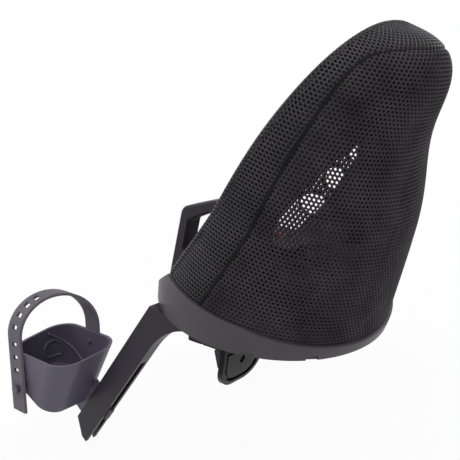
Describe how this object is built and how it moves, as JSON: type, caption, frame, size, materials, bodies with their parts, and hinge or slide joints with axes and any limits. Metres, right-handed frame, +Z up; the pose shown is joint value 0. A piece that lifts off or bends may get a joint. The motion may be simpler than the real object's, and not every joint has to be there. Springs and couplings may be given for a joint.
{
  "type": "child bike seat",
  "caption": "Front-mounted child bike seat: reclined air-mesh bucket on a moulded base, with grab handle, sliding foot cups with rubber straps, harness and a quick-release post clamp.",
  "frame": {"origin": "centre of the post socket's mouth under the tongue", "axes": "+Z up along the post, -Y the way the child faces, +X the child's left"},
  "size_m": [0.3974, 0.4325, 0.492],
  "materials": {
    "mesh": "open air-mesh knit",
    "liner": "soft spacer mesh",
    "frame": "moulded, fine grain",
    "base": "moulded, satin",
    "leg": "moulded, satin",
    "cup": "moulded, satin",
    "rubber": "soft moulded",
    "cushion": "padded knit",
    "webbing": "woven",
    "buckle": "moulded",
    "button": "moulded",
    "tab": "moulded",
    "clamp": "glass-filled, fine grain",
    "lever": "moulded, satin",
    "steel": "zinc plated"
  },
  "bodies": {
    "seat": {"base_tub": "base", "back_frame": "frame", "mesh_back_panel": "mesh", "mesh_side_panel": "mesh", "mesh_liner": "liner", "seat_cushion": "cushion", "grab_handle": "leg", "mount_block": "clamp", "leg_left": "leg", "leg_right": "leg", "shoulder_strap_left": "webbing", "shoulder_strap_right": "webbing", "shoulder_pad_left": "cushion", "shoulder_pad_right": "cushion", "strap_latch_left": "buckle", "strap_latch_right": "buckle", "crotch_strap": "webbing", "buckle_body": "buckle"},
    "clamp": {"clamp_jaw": "clamp", "clamp_bolts": "steel", "clamp_nuts": "steel", "lever_pin": "steel"},
    "lever": {"release_lever": "lever", "lever_pad": "rubber"},
    "footrest_left": {"foot_cup_left": "cup", "foot_strap_left": "rubber", "slide_block_left": "clamp", "slide_screw_left": "steel"},
    "footrest_right": {"foot_cup_right": "cup", "foot_strap_right": "rubber", "slide_block_right": "clamp", "slide_screw_right": "steel"},
    "adjuster_left": {"adjuster_button_left": "tab"},
    "adjuster_right": {"adjuster_button_right": "tab"},
    "buckle_press": {"buckle_button": "button"}
  },
  "joints": [
    {"name": "clamp_open", "type": "slide", "parent": "seat", "child": "clamp", "axis": [0, -1, 0], "range_m": [0, 0.0012]},
    {"name": "lever_swing", "type": "hinge", "parent": "clamp", "child": "lever", "pos_m": [0, 0.0363, 0.014], "axis": [1, 0, 0], "range_deg": [0, 100]},
    {"name": "footrest_left_slide", "type": "slide", "parent": "seat", "child": "footrest_left", "axis": [0, 0.6018, 0.7986], "range_m": [-0.018, 0.05]},
    {"name": "footrest_right_slide", "type": "slide", "parent": "seat", "child": "footrest_right", "axis": [0, 0.6018, 0.7986], "range_m": [-0.018, 0.05]},
    {"name": "adjuster_left_press", "type": "slide", "parent": "footrest_left", "child": "adjuster_left", "axis": [0, -0.7986, 0.6018], "range_m": [0, 0.003], "stiffness_N_per_m": 400},
    {"name": "adjuster_right_press", "type": "slide", "parent": "footrest_right", "child": "adjuster_right", "axis": [0, -0.7986, 0.6018], "range_m": [0, 0.003], "stiffness_N_per_m": 400},
    {"name": "buckle_press", "type": "slide", "parent": "seat", "child": "buckle_press", "axis": [0, -0.309, -0.9511], "range_m": [0, 0.002], "stiffness_N_per_m": 400}
  ],
  "couplings": [
    {"joint": "clamp_open", "follows": "lever_swing", "m_per_rad": 0.000687}
  ]
}
